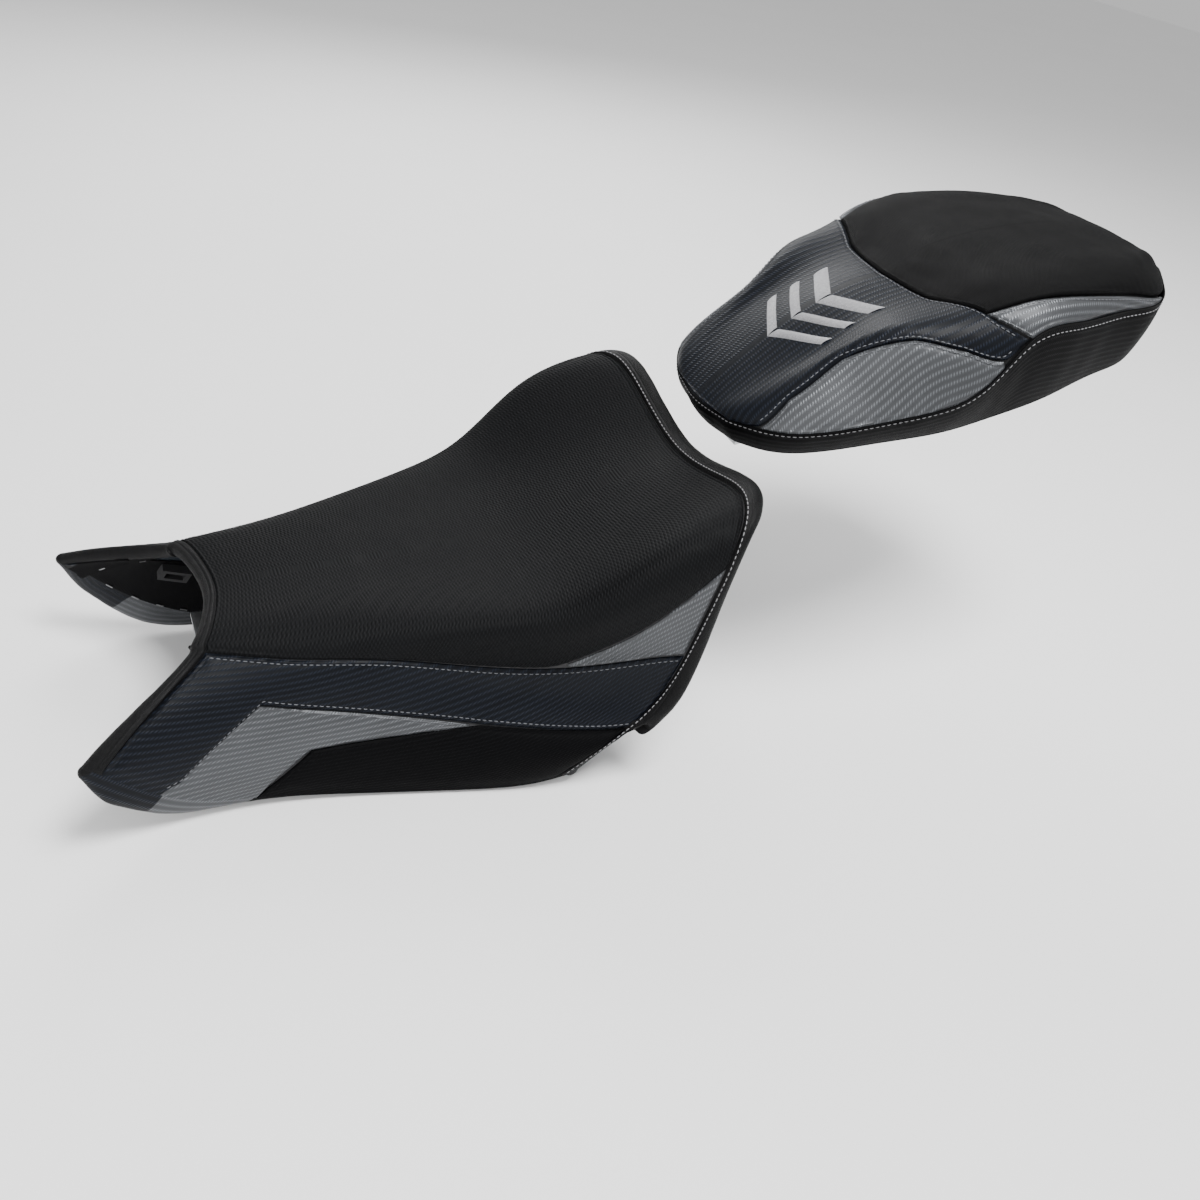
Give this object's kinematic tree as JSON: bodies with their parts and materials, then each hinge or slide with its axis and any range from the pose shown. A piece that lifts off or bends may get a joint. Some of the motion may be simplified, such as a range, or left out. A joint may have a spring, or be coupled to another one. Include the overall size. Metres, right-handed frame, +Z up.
{
  "type": "motorcycle seat",
  "caption": "Two-piece motorcycle seat: a rider seat with wings round the tank and a lift-off pillion seat behind it, each a padded moulded pan in a sewn, panelled cover.",
  "frame": {"origin": "middle of the rider seat's two rear bolt holes, at mid thickness of their plate", "axes": "+X forwards on the motorcycle, +Y to the rider's left, +Z up"},
  "size_m": [0.9019, 0.3232, 0.4073],
  "materials": {
    "grip_fabric": "ribbed grip fabric",
    "pad_fabric": "fine matt fabric",
    "carbon_vinyl": "carbon twill vinyl, satin",
    "silver_vinyl": "silver carbon twill vinyl, satin",
    "smooth_vinyl": "smooth vinyl",
    "foam": "moulded polyurethane foam",
    "pan_plastic": "moulded polypropylene",
    "rubber": "matt",
    "staple_steel": "bright wire",
    "zinc_steel": "zinc plated"
  },
  "bodies": {
    "rider_seat": {"rider_base_pan": "pan_plastic", "rider_bracket_screws": "zinc_steel", "rider_bumpers": "rubber", "rider_centre_panel": "grip_fabric", "rider_cover_hem": "smooth_vinyl", "rider_foam": "foam", "rider_front_binding": "smooth_vinyl", "rider_front_tongue": "pan_plastic", "rider_lower_panel_left": "carbon_vinyl", "rider_lower_panel_right": "carbon_vinyl", "rider_pan_ribs": "pan_plastic", "rider_rear_border": "smooth_vinyl", "rider_rear_bracket": "zinc_steel", "rider_rear_wedge_left": "silver_vinyl", "rider_rear_wedge_right": "silver_vinyl", "rider_side_band_left": "carbon_vinyl", "rider_side_band_right": "carbon_vinyl", "rider_side_insert_left": "silver_vinyl", "rider_side_insert_right": "silver_vinyl", "rider_staples": "staple_steel", "rider_wing_clip_left": "pan_plastic", "rider_wing_clip_right": "pan_plastic"},
    "pillion_seat": {"pillion_base_pan": "pan_plastic", "pillion_bumpers": "rubber", "pillion_centre_panel": "carbon_vinyl", "pillion_cover_hem": "smooth_vinyl", "pillion_foam": "foam", "pillion_front_insert_left": "silver_vinyl", "pillion_front_insert_right": "silver_vinyl", "pillion_front_tongue": "pan_plastic", "pillion_latch_striker": "zinc_steel", "pillion_rear_insert_left": "silver_vinyl", "pillion_rear_insert_right": "silver_vinyl", "pillion_rear_pad": "pad_fabric", "pillion_side_band_left": "carbon_vinyl", "pillion_side_band_right": "carbon_vinyl", "pillion_staples": "staple_steel", "pillion_striker_plate": "zinc_steel", "pillion_striker_screws": "zinc_steel"}
  },
  "joints": [
    {"name": "pillion_lift_off", "type": "slide", "parent": "rider_seat", "child": "pillion_seat", "axis": [0, 0, 1], "range_m": [0, 0.25]}
  ]
}
